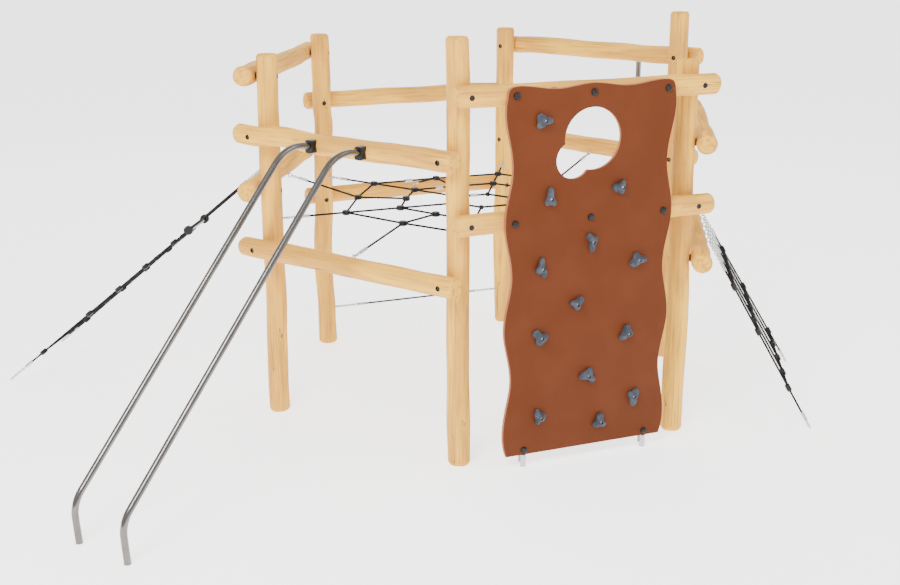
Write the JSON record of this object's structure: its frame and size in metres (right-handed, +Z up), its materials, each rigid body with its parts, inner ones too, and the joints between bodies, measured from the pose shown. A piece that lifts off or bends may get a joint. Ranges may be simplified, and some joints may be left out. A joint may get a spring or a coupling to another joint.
{
  "type": "rock climbing wall",
  "caption": "Six-sided timber log climbing frame with a holed climbing panel, sloping slide bars, a pole and rope nets.",
  "frame": {"origin": "centre of the footprint, on the ground", "axes": "+Z up, the climbing panel faces -Y, +X to the right as seen facing the panel"},
  "size_m": [5.898, 4.3378, 2.8],
  "materials": {
    "timber": "debarked, weathered",
    "panel": "coated sheet",
    "stone": "gritty",
    "rope": "laid rope",
    "black_plastic": "satin",
    "stainless": "brushed",
    "zinc": "galvanised"
  },
  "bodies": {
    "frame": {"back_left_post": "timber", "back_lower_beam": "timber", "back_right_post": "timber", "back_upper_beam": "timber", "bars_lower_beam": "timber", "bars_upper_beam": "timber", "beam_bolt_caps": "black_plastic", "beam_spacers": "black_plastic", "beam_through_bolts": "zinc", "beam_through_nuts": "zinc", "centre_net_hub_knots": "black_plastic", "centre_net_ropes": "rope", "centre_net_sleeves": "zinc", "climbing_hold_01": "stone", "climbing_hold_02": "stone", "climbing_hold_03": "stone", "climbing_hold_04": "stone", "climbing_hold_05": "stone", "climbing_hold_06": "stone", "climbing_hold_07": "stone", "climbing_hold_08": "stone", "climbing_hold_09": "stone", "climbing_hold_10": "stone", "climbing_hold_11": "stone", "climbing_hold_12": "stone", "climbing_hold_13": "stone", "climbing_panel": "panel", "fire_pole": "stainless", "foot_rope": "rope", "front_left_post": "timber", "front_right_post": "timber", "hold_bolts": "zinc", "hold_flange_nuts": "zinc", "left_net_lower_beam": "timber", "left_net_ropes": "rope", "left_net_rung_core": "zinc", "left_net_rung_pucks": "black_plastic", "left_net_upper_beam": "timber", "left_post": "timber", "net_clamps": "black_plastic", "panel_bolt_domes": "black_plastic", "panel_bolts": "zinc", "panel_leg_nuts": "zinc", "panel_legs": "zinc", "panel_lower_beam": "timber", "panel_upper_beam": "timber", "pole_lower_beam": "timber", "pole_upper_beam": "timber", "right_net_lower_beam": "timber", "right_net_ropes": "rope", "right_net_upper_beam": "timber", "right_post": "timber", "rope_chains": "zinc", "rope_eye_screws": "zinc", "rope_ferrules": "zinc", "sloping_bar_left": "stainless", "sloping_bar_right": "stainless", "tube_flanges": "black_plastic"},
    "rung": {"left_net_rung_tube": "stainless"}
  },
  "joints": [
    {"name": "rung_spin", "type": "hinge", "parent": "frame", "child": "rung", "pos_m": [-1.47074, 1.02763, 1.18919], "axis": [-0.5, -0.866, 0], "continuous": true}
  ]
}
